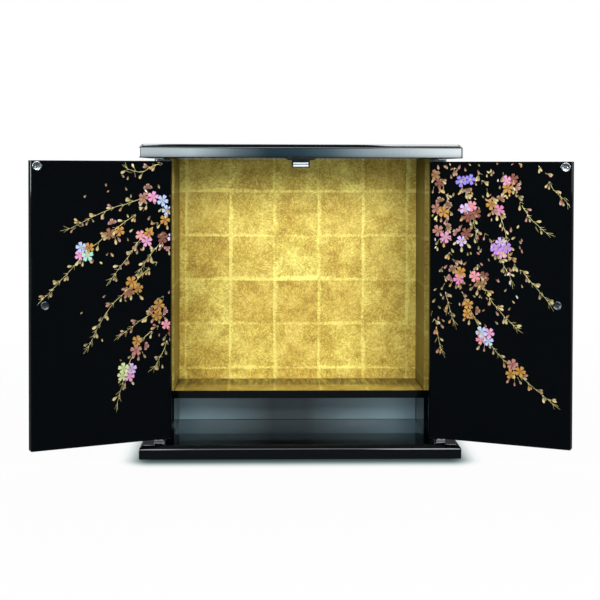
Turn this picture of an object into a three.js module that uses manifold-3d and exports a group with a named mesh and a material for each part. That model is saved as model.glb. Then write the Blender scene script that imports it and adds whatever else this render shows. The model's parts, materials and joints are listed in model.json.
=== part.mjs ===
// Household altar cabinet: black lacquered carcass, gold-leafed alcove, two doors on pivot hinges.
// Millimetres, +Z up, front towards -Y. The origin is the centre of the base board's underside.

import * as THREE from 'three';
import { mergeVertices } from 'three/addons/utils/BufferGeometryUtils.js';
import Module from 'manifold-3d';

const wasm = await Module();
wasm.setup();

// Joints and roundness
const fitGap = 0.3;
const arcSegments = 4;
const turnedSegments = 20;

// Base board and top board
const boardWidth = 700;
const boardDepth = 290;
const boardThickness = 30;
const boardChamfer = 8;
const boardArris = 1.2;
const boardCornerRadius = 3.5;

// Carcass between the boards
const caseHeight = 623;
const endOverhang = 30;
const frontOverhang = 40;
const panelThickness = 24;
const backBoardThickness = 9;

// Linings and shelf
const sideLiningThickness = 12.7;
const backLiningThickness = 6;
const liningSetback = 82;
const recessHeight = 80;
const shelfThickness = 18;
const liningRebate = 0.8;

// Doors and their pivots
const doorThickness = 24;
const doorInnerOffset = 14;
const doorBottomClearance = 13.5;
const doorTopClearance = 7;
const doorCentreGap = 3;
const doorCornerRadius = 2;
const doorArris = 1.5;
const hingeEdgeRadius = 16;
const hingeEdgeClearance = 1.5;
const openAngle = THREE.MathUtils.degToRad(156);

// Pivot hinges
const leafWidth = 12;
const leafThickness = 2;
const tipScrewOffset = 9.5;
const armScrewOffset = 14;
const collarRadius = 4.95;
const collarHeight = 3;
const pinRadius = 1.9;
const pinEngagement = 8;
const pinEndClearance = 1;

// Hinge screws
const hingeScrewHeadRadius = 3;
const hingeScrewHeadHeight = 1.5;
const hingeScrewShankRadius = 1.3;
const hingeScrewShankLength = 14;
const slotWidth = 0.9;
const slotDepth = 0.6;

// Magnetic catch
const catchWidth = 39.6;
const catchDepth = 26;
const catchHeight = 21;
const wingSpan = 71.2;
const wingTaper = 8.6;
const wingThickness = 4.2;
const poleWidth = 33;
const poleDepth = 22;
const poleThickness = 4;
const poleSpacing = 5.45;
const lowerPoleInset = 4.9;
const poleStandout = 1;

// Strikes
const strikeRadius = 9.75;
const strikeThickness = 1.5;
const strikeArris = 0.4;
const strikeEdgeInset = 12.8;
const strikeBelowPoles = 5.3;
const strikeScrewShankRadius = 1.5;
const strikeScrewHeadRadius = 3;
const strikeScrewLength = 11;

// Pulls
const pullEdgeInset = 26.5;
const pullRadius = 11;
const pullLength = 20;
const pullSeatRadius = 6.5;
const pullNeckRadius = 4.9;
const capRadius = 9.25;
const capHeight = 2.5;
const capRimWidth = 2.6;
const boltRadius = 2.2;
const boltEngagement = 7;

// Places that follow from the sizes
const boardFront = -boardDepth / 2;
const caseBack = boardDepth / 2;
const caseFront = boardFront + frontOverhang;
const caseBottom = boardThickness;
const caseTop = caseBottom + caseHeight;
const panelOuter = boardWidth / 2 - endOverhang;
const panelInner = panelOuter - panelThickness;
const liningOuter = panelInner - fitGap;
const liningInner = liningOuter - sideLiningThickness;
const liningFront = caseFront + liningSetback;
const backBoardFront = caseBack - backBoardThickness;
const liningBack = backBoardFront - fitGap;
const shelfBottom = caseBottom + recessHeight;
const shelfTop = shelfBottom + shelfThickness;
const liningFoot = shelfTop - liningRebate + fitGap;

const pivotX = panelInner;
const pivotY = caseFront - hingeEdgeRadius - hingeEdgeClearance;
const doorBottom = caseBottom + doorBottomClearance;
const doorTop = caseTop - doorTopClearance;
const doorReach = pivotX - doorCentreGap / 2;
const doorOuterOffset = doorInnerOffset - doorThickness;

const catchTop = caseTop - fitGap;
const catchBottom = catchTop - catchHeight;
const lowerPoleHeight = catchBottom + lowerPoleInset;
const upperPoleHeight = lowerPoleHeight + poleSpacing;
const strikeHeight = (lowerPoleHeight + upperPoleHeight) / 2 - strikeBelowPoles;
const strikeFace = pivotY + doorInnerOffset + fitGap + strikeThickness;
const poleFront = strikeFace + fitGap;
const catchFront = poleFront + poleStandout;

// Finishes
const blackLacquer = finish(0x07080a, 0.08, 0.0);
const satinBlack = finish(0x14161a, 0.45, 0.0);
const goldLeaf = finish(0xc09a3c, 0.35, 0.9);
const steel = finish(0xb4b8bb, 0.3, 1.0);
const blackPlastic = finish(0x15181a, 0.5, 0.0);

function finish(color, roughness, metalness) {
  return new THREE.MeshStandardMaterial({ color, roughness, metalness });
}

// Solid helpers

function solidOf(geometry) {
  const bare = geometry.clone();
  bare.deleteAttribute('normal');
  bare.deleteAttribute('uv');
  const merged = mergeVertices(bare, 1e-4);
  const index = merged.index.array;
  const triangles = [];
  for (let i = 0; i < index.length; i += 3) {
    const [a, b, c] = [index[i], index[i + 1], index[i + 2]];
    if (a !== b && b !== c && c !== a) triangles.push(a, b, c);
  }
  return new wasm.Manifold(new wasm.Mesh({
    numProp: 3,
    vertProperties: new Float32Array(merged.attributes.position.array),
    triVerts: new Uint32Array(triangles),
  }));
}

function geometryOf(solid) {
  const mesh = solid.getMesh();
  const geometry = new THREE.BufferGeometry();
  geometry.setAttribute('position', new THREE.BufferAttribute(new Float32Array(mesh.vertProperties), 3));
  geometry.setIndex(new THREE.BufferAttribute(new Uint32Array(mesh.triVerts), 1));
  return geometry;
}

function boxBetween(x0, x1, y0, y1, z0, z1) {
  const box = new THREE.BoxGeometry(x1 - x0, y1 - y0, z1 - z0);
  return box.translate((x0 + x1) / 2, (y0 + y1) / 2, (z0 + z1) / 2);
}

function rodAlongZ(radius, x, y, z0, z1) {
  const rod = new THREE.CylinderGeometry(radius, radius, z1 - z0, turnedSegments);
  return rod.rotateX(Math.PI / 2).translate(x, y, (z0 + z1) / 2);
}

function rodAlongY(radius, x, z, y0, y1) {
  const rod = new THREE.CylinderGeometry(radius, radius, y1 - y0, turnedSegments);
  return rod.translate(x, (y0 + y1) / 2, z);
}

function turned(profile) {
  return new THREE.LatheGeometry(profile.map(([radius, along]) => new THREE.Vector2(radius, along)), turnedSegments);
}

// A polygon whose corners are [x, y, radius]
function roundedShape(corners) {
  const shape = new THREE.Shape();
  corners.forEach(([x, y, radius], i) => {
    const here = new THREE.Vector2(x, y);
    const [beforeX, beforeY] = corners.at(i - 1);
    const [afterX, afterY] = corners[(i + 1) % corners.length];
    const toBefore = new THREE.Vector2(beforeX, beforeY).sub(here).normalize();
    const toAfter = new THREE.Vector2(afterX, afterY).sub(here).normalize();
    const tangent = radius / Math.tan(Math.acos(toBefore.dot(toAfter)) / 2);
    const entry = here.clone().addScaledVector(toBefore, tangent);
    const exit = here.clone().addScaledVector(toAfter, tangent);
    if (i === 0) shape.moveTo(entry.x, entry.y);
    else shape.lineTo(entry.x, entry.y);
    if (radius > 0) shape.quadraticCurveTo(x, y, exit.x, exit.y);
  });
  return shape;
}

function extruded(shape, depth) {
  return new THREE.ExtrudeGeometry(shape, { depth, bevelEnabled: false, curveSegments: arcSegments });
}

function addMesh(parent, name, geometry, material) {
  const mesh = new THREE.Mesh(geometry, material);
  mesh.name = name;
  parent.add(mesh);
  return mesh;
}

// Boards: a plan outline with rounded front corners, cut to a front section and an end section,
// both chamfered along the upper edge, so that the chamfers meet in mitres at the front corners.

function boardSolid() {
  const halfWidth = boardWidth / 2;
  const halfDepth = boardDepth / 2;
  const plan = extruded(roundedShape([
    [-halfWidth, -halfDepth, boardCornerRadius],
    [halfWidth, -halfDepth, boardCornerRadius],
    [halfWidth, halfDepth, 0],
    [-halfWidth, halfDepth, 0],
  ]), boardThickness);

  const frontSection = extruded(roundedShape([
    [-halfDepth, 0, boardArris],
    [halfDepth, 0, 0],
    [halfDepth, boardThickness, 0],
    [-halfDepth + boardChamfer, boardThickness, boardArris],
    [-halfDepth, boardThickness - boardChamfer, boardArris],
  ]), boardWidth);
  frontSection.applyMatrix4(new THREE.Matrix4().makeBasis(
    new THREE.Vector3(0, 1, 0), new THREE.Vector3(0, 0, 1), new THREE.Vector3(1, 0, 0)));
  frontSection.translate(-halfWidth, 0, 0);

  const endSection = extruded(roundedShape([
    [-halfWidth, 0, boardArris],
    [halfWidth, 0, boardArris],
    [halfWidth, boardThickness - boardChamfer, boardArris],
    [halfWidth - boardChamfer, boardThickness, boardArris],
    [-halfWidth + boardChamfer, boardThickness, boardArris],
    [-halfWidth, boardThickness - boardChamfer, boardArris],
  ]), boardDepth);
  endSection.rotateX(Math.PI / 2).translate(0, halfDepth, 0);

  return solidOf(plan).intersect(solidOf(frontSection)).intersect(solidOf(endSection));
}

// A blind hole in a board for each door's pin, from height z0 to z1
function withPinHoles(board, z0, z1) {
  let drilled = board;
  for (const side of [-1, 1]) {
    drilled = drilled.subtract(solidOf(rodAlongZ(pinRadius + fitGap, side * pivotX, pivotY, z0, z1)));
  }
  return geometryOf(drilled);
}

const pinHoleDepth = pinEngagement + pinEndClearance;

function addBoards(group) {
  const base = boardSolid();
  const top = boardSolid().translate([0, 0, caseTop]);
  const beyond = 1;
  addMesh(group, 'base_board', withPinHoles(base, caseBottom - pinHoleDepth, caseBottom + beyond), blackLacquer);
  addMesh(group, 'top_board', withPinHoles(top, caseTop - beyond, caseTop + pinHoleDepth), blackLacquer);
}

// The shelf, with a shallow rebate along its ends and its back that the gilded linings stand in
function shelfSolid() {
  const board = solidOf(boxBetween(-liningOuter, liningOuter, liningFront, liningBack, shelfBottom,
    shelfTop - liningRebate));
  const field = liningInner - fitGap;
  return board.add(solidOf(boxBetween(-field, field, liningFront, liningBack - backLiningThickness - fitGap,
    shelfBottom, shelfTop)));
}

function addCarcass(group) {
  const bottom = caseBottom + fitGap;
  const top = caseTop - fitGap;
  addMesh(group, 'back_board',
    boxBetween(-liningOuter, liningOuter, backBoardFront, caseBack, bottom, top), blackLacquer);
  addMesh(group, 'shelf_board', geometryOf(shelfSolid()), goldLeaf);
  for (const [side, word] of [[-1, 'left'], [1, 'right']]) {
    addMesh(group, `side_panel_${word}`,
      boxAtSide(side, panelInner, panelOuter, caseFront, caseBack, bottom, top), blackLacquer);
    addMesh(group, `alcove_side_${word}`,
      boxAtSide(side, liningInner, liningOuter, liningFront, liningBack, liningFoot, top), goldLeaf);
    addMesh(group, `recess_side_${word}`,
      boxAtSide(side, liningInner, liningOuter, liningFront, liningBack, bottom, shelfBottom - fitGap),
      blackLacquer);
  }
  const backX = liningInner - fitGap;
  const backFace = liningBack - backLiningThickness;
  addMesh(group, 'alcove_back', boxBetween(-backX, backX, backFace, liningBack, liningFoot, top), goldLeaf);
  addMesh(group, 'recess_back',
    boxBetween(-backX, backX, backFace, liningBack, bottom, shelfBottom - fitGap), satinBlack);
}

// A box between two distances from the middle, on the left (side -1) or the right (side 1)
function boxAtSide(side, inner, outer, y0, y1, z0, z1) {
  return boxBetween(Math.min(side * inner, side * outer), Math.max(side * inner, side * outer), y0, y1, z0, z1);
}

// Magnetic catch: a winged housing under the top board with two pole bars in slots

function addCatch(group) {
  const wingBottom = catchTop - wingThickness;
  const profile = roundedShape([
    [-wingSpan / 2, catchTop, 0],
    [-wingSpan / 2 + wingTaper, wingBottom, 0],
    [-catchWidth / 2, wingBottom, 0],
    [-catchWidth / 2, catchBottom, 1],
    [catchWidth / 2, catchBottom, 1],
    [catchWidth / 2, wingBottom, 0],
    [wingSpan / 2 - wingTaper, wingBottom, 0],
    [wingSpan / 2, catchTop, 0],
  ]);
  const body = extruded(profile, catchDepth).rotateX(Math.PI / 2).translate(0, catchFront + catchDepth, 0);
  let housing = solidOf(body);
  const beyond = 1;
  const poles = [['catch_pole_lower', lowerPoleHeight], ['catch_pole_upper', upperPoleHeight]];
  for (const [name, height] of poles) {
    const bar = [height - poleThickness / 2, height + poleThickness / 2];
    addMesh(group, name,
      boxBetween(-poleWidth / 2, poleWidth / 2, poleFront, poleFront + poleDepth, ...bar), steel);
    housing = housing.subtract(solidOf(boxBetween(
      -poleWidth / 2 - fitGap, poleWidth / 2 + fitGap,
      catchFront - beyond, poleFront + poleDepth + fitGap,
      bar[0] - fitGap, bar[1] + fitGap)));
  }
  addMesh(group, 'catch_housing', geometryOf(housing), blackPlastic);
}

// Doors. Each is modelled closed in its own frame: the pin's axis is Z, +Y is the inner face's side,
// and the free edge lies towards the middle, which is +X on the left door and -X on the right one.

function doorOutline(side) {
  const outline = new THREE.Shape();
  const innerAngle = Math.PI - Math.asin(doorInnerOffset / hingeEdgeRadius);
  const outerAngle = Math.PI - Math.asin(doorOuterOffset / hingeEdgeRadius);
  outline.absarc(0, 0, hingeEdgeRadius, innerAngle, outerAngle, false);
  const cornerX = doorReach - doorCornerRadius;
  outline.absarc(cornerX, doorOuterOffset + doorCornerRadius, doorCornerRadius, -Math.PI / 2, 0, false);
  outline.absarc(cornerX, doorInnerOffset - doorCornerRadius, doorCornerRadius, 0, Math.PI / 2, false);
  const points = outline.getPoints(arcSegments);
  return new THREE.Shape(points.map(({ x, y }) => new THREE.Vector2(-side * x, y)));
}

function doorGeometry(side) {
  const slab = new THREE.ExtrudeGeometry(doorOutline(side), {
    depth: doorTop - doorBottom - 2 * doorArris,
    bevelEnabled: true,
    bevelThickness: doorArris,
    bevelSize: doorArris,
    bevelOffset: -doorArris,
    bevelSegments: 2,
  });
  slab.translate(0, 0, doorBottom + doorArris);
  const beyond = 1;
  const screwHole = hingeScrewShankRadius + fitGap;
  const screwDepth = hingeScrewShankLength + fitGap;
  const holes = [
    rodAlongY(strikeScrewShankRadius + fitGap, strikeX(side), strikeHeight,
      doorInnerOffset - strikeScrewLength, doorInnerOffset + beyond),
    rodAlongY(boltRadius + fitGap, pullX(side), pullHeight, doorOuterOffset - beyond, doorInnerOffset + beyond),
  ];
  for (const x of hingeScrewPlaces(side)) {
    holes.push(rodAlongZ(screwHole, x, 0, doorBottom - beyond, doorBottom + screwDepth));
    holes.push(rodAlongZ(screwHole, x, 0, doorTop - screwDepth, doorTop + beyond));
  }
  return geometryOf(holes.reduce((solid, hole) => solid.subtract(solidOf(hole)), solidOf(slab)));
}

const pullHeight = (doorBottom + doorTop) / 2;

function strikeX(side) {
  return -side * (doorReach - strikeEdgeInset);
}

function pullX(side) {
  return -side * (doorReach - pullEdgeInset);
}

function hingeScrewPlaces(side) {
  return [side * tipScrewOffset, -side * armScrewOffset];
}

// A leaf with round ends, its collar and its pin in one. It is modelled for the top of a door,
// with z = 0 on the leaf's face against the door.
function hingeSolid(side, collarToBoard) {
  const plate = new THREE.Shape();
  const [tip, arm] = [-tipScrewOffset, armScrewOffset];
  plate.absarc(tip, 0, leafWidth / 2, Math.PI / 2, 1.5 * Math.PI, false);
  plate.absarc(arm, 0, leafWidth / 2, -Math.PI / 2, Math.PI / 2, false);
  const points = plate.getPoints(arcSegments * 2);
  const outline = new THREE.Shape(points.map(({ x, y }) => new THREE.Vector2(-side * x, y)));
  const collarTop = leafThickness + collarHeight;
  const overlap = leafThickness / 2;
  let hinge = solidOf(extruded(outline, leafThickness));
  hinge = hinge.add(solidOf(rodAlongZ(collarRadius, 0, 0, overlap, collarTop)));
  hinge = hinge.add(solidOf(rodAlongZ(pinRadius, 0, 0, overlap, collarTop + collarToBoard + pinEngagement)));
  const beyond = 1;
  for (const x of hingeScrewPlaces(side)) {
    hinge = hinge.subtract(solidOf(
      rodAlongZ(hingeScrewShankRadius + fitGap, x, 0, -beyond, leafThickness + beyond)));
  }
  return hinge;
}

// A slotted pan-head screw, modelled for the top of a door, with z = 0 under its head
function hingeScrewSolid() {
  const length = hingeScrewShankLength + fitGap + leafThickness;
  const screw = turned([
    [0, -length],
    [hingeScrewShankRadius, -length + hingeScrewShankRadius * 2],
    [hingeScrewShankRadius, 0],
    [hingeScrewHeadRadius, 0],
    [hingeScrewHeadRadius * 0.96, hingeScrewHeadHeight * 0.55],
    [hingeScrewHeadRadius * 0.7, hingeScrewHeadHeight * 0.95],
    [0, hingeScrewHeadHeight],
  ]).rotateX(Math.PI / 2);
  const slot = boxBetween(-hingeScrewHeadRadius * 2, hingeScrewHeadRadius * 2, -slotWidth / 2, slotWidth / 2,
    hingeScrewHeadHeight - slotDepth, hingeScrewHeadHeight * 2);
  return solidOf(screw).subtract(solidOf(slot));
}

function addHinges(door, side, word) {
  const upperSeat = doorTop + fitGap;
  const lowerSeat = doorBottom - fitGap;
  const stack = leafThickness + collarHeight;
  const upperGap = caseTop - upperSeat - stack;
  const lowerGap = lowerSeat - stack - caseBottom;
  const flip = [180, 0, 0];
  addMesh(door, `hinge_upper_${word}`,
    geometryOf(hingeSolid(side, upperGap).translate([0, 0, upperSeat])), steel);
  addMesh(door, `hinge_lower_${word}`,
    geometryOf(hingeSolid(side, lowerGap).rotate(flip).translate([0, 0, lowerSeat])), steel);
  const headGap = leafThickness + fitGap;
  const places = hingeScrewPlaces(side);
  ['tip', 'arm'].forEach((end, i) => {
    addMesh(door, `hinge_screw_upper_${word}_${end}`,
      geometryOf(hingeScrewSolid().translate([places[i], 0, upperSeat + headGap])), steel);
    addMesh(door, `hinge_screw_lower_${word}_${end}`,
      geometryOf(hingeScrewSolid().rotate(flip).translate([places[i], 0, lowerSeat - headGap])), steel);
  });
}

// A round steel plate with a countersunk screw, on the inner face
function addStrike(door, side, word) {
  const seat = doorInnerOffset + fitGap;
  const coneGap = fitGap * Math.SQRT2;
  const hole = strikeScrewShankRadius + coneGap;
  const plate = turned([
    [hole, 0],
    [strikeRadius, 0],
    [strikeRadius, strikeThickness - strikeArris],
    [strikeRadius - strikeArris, strikeThickness],
    [strikeScrewHeadRadius + coneGap, strikeThickness],
    [hole, 0],
  ]);
  addMesh(door, `strike_${word}`, plate.translate(strikeX(side), seat, strikeHeight), steel);
  const screw = turned([
    [0, fitGap * 2 - strikeScrewLength],
    [strikeScrewShankRadius, fitGap * 2 - strikeScrewLength + strikeScrewShankRadius * 2],
    [strikeScrewShankRadius, 0],
    [strikeScrewHeadRadius, strikeThickness],
    [0, strikeThickness],
  ]);
  const slot = boxBetween(-strikeScrewHeadRadius * 2, strikeScrewHeadRadius * 2,
    strikeThickness - slotDepth, strikeThickness * 2, -slotWidth / 2, slotWidth / 2);
  const slotted = solidOf(screw).subtract(solidOf(slot));
  addMesh(door, `strike_screw_${word}`,
    geometryOf(slotted.translate([strikeX(side), seat, strikeHeight])), steel);
}

// A dished cap on the inner face whose bolt passes through the door into the knob on the outer face
function addPull(door, side, word) {
  const capSeat = doorInnerOffset + fitGap;
  const pullSeat = doorOuterOffset - fitGap;
  const boltLength = capSeat - pullSeat + boltEngagement;
  const dish = capHeight * 0.4;
  const rim = new THREE.SplineCurve([
    new THREE.Vector2(capRadius - 0.3, 0),
    new THREE.Vector2(capRadius, capHeight * 0.45),
    new THREE.Vector2(capRadius - capRimWidth / 2, capHeight),
    new THREE.Vector2(capRadius - capRimWidth, capHeight * 0.6),
  ]).getPoints(arcSegments * 2);
  const cap = turned([
    [0, -boltLength],
    [boltRadius, -boltLength],
    [boltRadius, 0],
    ...rim.map(({ x, y }) => [x, y]),
    [0, dish],
  ]);
  addMesh(door, `pull_cap_${word}`, cap.translate(pullX(side), capSeat, pullHeight), steel);

  const bore = boltRadius + fitGap;
  const boreDepth = boltEngagement + pinEndClearance;
  const knob = new THREE.SplineCurve([
    new THREE.Vector2(pullRadius * 0.35, -pullLength),
    new THREE.Vector2(pullRadius * 0.86, -pullLength * 0.9),
    new THREE.Vector2(pullRadius, -pullLength * 0.72),
    new THREE.Vector2(pullRadius * 0.8, -pullLength * 0.52),
    new THREE.Vector2(pullNeckRadius, -pullLength * 0.34),
    new THREE.Vector2(pullNeckRadius, -pullLength * 0.16),
    new THREE.Vector2(pullSeatRadius, 0),
  ]).getPoints(arcSegments * 4);
  const pull = turned([
    [0, -pullLength],
    ...knob.map(({ x, y }) => [x, y]),
    [bore, 0],
    [bore, -boreDepth],
    [0, -boreDepth],
  ]);
  addMesh(door, `pull_${word}`, pull.translate(pullX(side), pullSeat, pullHeight), steel);
}

function buildDoor(side, word) {
  const door = new THREE.Group();
  door.position.set(side * pivotX, pivotY, 0);
  door.rotation.z = side * openAngle;
  addMesh(door, `door_${word}`, doorGeometry(side), blackLacquer);
  addHinges(door, side, word);
  addStrike(door, side, word);
  addPull(door, side, word);
  return door;
}

const cabinet = new THREE.Group();
addBoards(cabinet);
addCarcass(cabinet);
addCatch(cabinet);
cabinet.add(buildDoor(-1, 'left'), buildDoor(1, 'right'));

export default cabinet;
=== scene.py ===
"""Household altar cabinet in black mirror lacquer, with a gold-leafed alcove and blossom inlay on its doors.

The frame gives every size and place. Each operator below makes one piece or one group of like pieces.
"""

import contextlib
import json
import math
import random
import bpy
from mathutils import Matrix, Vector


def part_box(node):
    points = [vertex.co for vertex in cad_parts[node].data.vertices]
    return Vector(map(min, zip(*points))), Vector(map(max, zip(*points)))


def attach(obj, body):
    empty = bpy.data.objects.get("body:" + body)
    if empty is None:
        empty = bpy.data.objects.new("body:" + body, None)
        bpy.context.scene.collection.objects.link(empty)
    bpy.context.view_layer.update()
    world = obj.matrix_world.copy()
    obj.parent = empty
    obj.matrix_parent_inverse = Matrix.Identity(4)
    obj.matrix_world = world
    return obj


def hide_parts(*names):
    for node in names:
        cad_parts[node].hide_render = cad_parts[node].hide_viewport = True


bl_info = {
    "name": "Household Altar Cabinet",
    "version": (1, 0, 0),
    "blender": (4, 5, 0),
    "location": "3D View > Sidebar > Altar",
    "description": "Lacquer, gold leaf, metal fittings and blossom inlay for an altar cabinet",
    "category": "Object",
}

import bpy
from mathutils import Matrix, Vector

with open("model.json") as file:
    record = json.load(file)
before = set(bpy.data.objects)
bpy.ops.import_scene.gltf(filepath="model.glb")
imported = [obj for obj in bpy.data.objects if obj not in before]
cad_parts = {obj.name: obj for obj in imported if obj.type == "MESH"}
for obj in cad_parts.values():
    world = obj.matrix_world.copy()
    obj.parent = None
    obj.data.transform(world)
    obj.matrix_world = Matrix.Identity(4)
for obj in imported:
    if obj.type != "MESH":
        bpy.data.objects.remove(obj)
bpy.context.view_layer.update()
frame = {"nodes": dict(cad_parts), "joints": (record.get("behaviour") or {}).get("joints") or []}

MM = 0.001
NEAR = 0.01 * MM
FIT_GAP = 0.3 * MM
FLAT = math.radians(0.5)
SIDES = (("left", -1), ("right", 1))
JOINTS = {joint["child"]: joint for joint in frame["joints"]}


def srgb(red, green, blue):
    """A colour given by its 0-255 screen values, in the linear values that shaders take."""
    channels = [c / 255 for c in (red, green, blue)]
    return tuple(c / 12.92 if c <= 0.04045 else ((c + 0.055) / 1.055) ** 2.4 for c in channels)


# Sizes and colours that a user would change


def length_field(name, description, metres):
    return bpy.props.FloatProperty(name=name, description=description, default=metres, unit="LENGTH")


def colour_field(name, description, value):
    return bpy.props.FloatVectorProperty(
        name=name, description=description, subtype="COLOR", size=3, min=0, max=1, default=value)


def share_field(name, description, value):
    """A value from 0 to 1, such as a roughness."""
    return bpy.props.FloatProperty(name=name, description=description, default=value, min=0, max=1)


def brightness_field(name, description, value):
    return bpy.props.FloatProperty(name=name, description=description, default=value, min=0)


class LacquerSettings(bpy.types.PropertyGroup):
    black: colour_field("Black", "Colour of the lacquer", srgb(4, 6, 8))
    gloss_roughness: share_field("Gloss roughness", "Roughness of the mirror finish", 0.035)
    satin_roughness: share_field("Satin roughness", "Roughness of the satin finish", 0.3)
    arris: length_field("Arris", "Radius of the small edge rounding", 1.7 * MM)
    chamfer: length_field("Chamfer", "Chamfer on the boards' upper edges", 8 * MM)
    corner_radius: length_field("Corner radius", "Radius of the boards' front corners", 3.5 * MM)
    fine_arris: length_field("Fine arris", "Edge rounding of panels and linings", 0.6 * MM)


class DoorSettings(bpy.types.PropertyGroup):
    inner_offset: length_field("Inner face offset", "From the pin's axis to the inner face", 14 * MM)
    thickness: length_field("Thickness", "Thickness of a door", 24 * MM)
    edge_radius: length_field("Hinge edge radius", "Radius of the hinge edge about the pin", 16 * MM)
    centre_gap: length_field("Centre gap", "Gap between the closed doors", 3 * MM)
    arris: length_field("Arris", "Radius of the doors' edges", 1.5 * MM)
    corner_radius: length_field("Corner radius", "Radius of the free edge's two corners", 2.1 * MM)


class GoldLeafSettings(bpy.types.PropertyGroup):
    pitch: length_field("Pitch", "Distance between the seams", 105.4 * MM)
    overlap: length_field("Overlap", "Least width of a doubled seam", 2.5 * MM)
    shadow: colour_field("Shadow gold", "Darkest gold", srgb(164, 126, 44))
    body: colour_field("Gold", "Middle gold", srgb(212, 182, 74))
    light: colour_field("Pale gold", "Lightest gold, on doubled leaf", srgb(255, 246, 136))
    roughness: share_field("Roughness", "Mean roughness of the leaf", 0.5)


class MetalSettings(bpy.types.PropertyGroup):
    steel: colour_field("Steel", "Colour of the plated steel", srgb(176, 182, 186))
    roughness: share_field("Roughness", "Roughness of the plating", 0.1)
    plastic: colour_field("Plastic", "Colour of the catch's housing", srgb(30, 34, 38))


class PictureSettings(bpy.types.PropertyGroup):
    blossom: length_field("Blossom radius", "Radius of a blossom", 12.2 * MM)
    bud: length_field("Bud length", "Length of a bud", 12 * MM)
    petal: length_field("Petal length", "Length of a loose petal", 9 * MM)
    thickness: length_field("Thickness", "How thick the inlay is", 0.12 * MM)
    line: length_field("Line", "Radius of a twig's line", 0.34 * MM)


class StageSettings(bpy.types.PropertyGroup):
    floor: colour_field("Floor", "Colour of the floor", (0.86, 0.87, 0.87))
    floor_radius: length_field("Floor radius", "Radius of the floor", 2.6)
    backdrop: brightness_field("Backdrop", "Brightness behind the cabinet", 1.0)
    ambient: brightness_field("Ambient", "Brightness that lights the surfaces from all round", 0.42)
    gloss: brightness_field("Gloss", "Brightness that the glossy surfaces mirror", 0.28)
    card: brightness_field("Card", "Strength of the card that the boards mirror", 20.0)


GROUPS = {
    "altar_lacquer": LacquerSettings,
    "altar_door": DoorSettings,
    "altar_leaf": GoldLeafSettings,
    "altar_metal": MetalSettings,
    "altar_picture": PictureSettings,
    "altar_stage": StageSettings,
}


# Shader maths


class Quantity:
    """A number that varies over a surface. Arithmetic on it adds Math nodes."""

    def __init__(self, surface, socket):
        self.surface = surface
        self.socket = socket

    def maths(self, operation, *values, clamp=False):
        node = self.surface.node("ShaderNodeMath", {"operation": operation, "use_clamp": clamp},
                                 dict(enumerate(values)))
        return Quantity(self.surface, node.outputs[0])

    def __add__(self, other):
        return self.maths("ADD", self, other)

    __radd__ = __add__

    def __sub__(self, other):
        return self.maths("SUBTRACT", self, other)

    def __rsub__(self, other):
        return self.maths("SUBTRACT", other, self)

    def __mul__(self, other):
        return self.maths("MULTIPLY", self, other)

    __rmul__ = __mul__

    def __truediv__(self, other):
        return self.maths("DIVIDE", self, other)

    def __pow__(self, other):
        return self.maths("POWER", self, other)

    def __lt__(self, other):
        return self.maths("LESS_THAN", self, other)

    def __gt__(self, other):
        return self.maths("GREATER_THAN", self, other)

    def floor(self):
        return self.maths("FLOOR", self)

    def root(self):
        return self.maths("SQRT", self)

    def larger(self, other):
        return self.maths("MAXIMUM", self, other)

    def clamped(self):
        return self.maths("ADD", self, 0.0, clamp=True)

    def between(self, low, high):
        """0 at low, 1 at high, and straight between."""
        return self.maths("DIVIDE", self - low, high - low, clamp=True)


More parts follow.
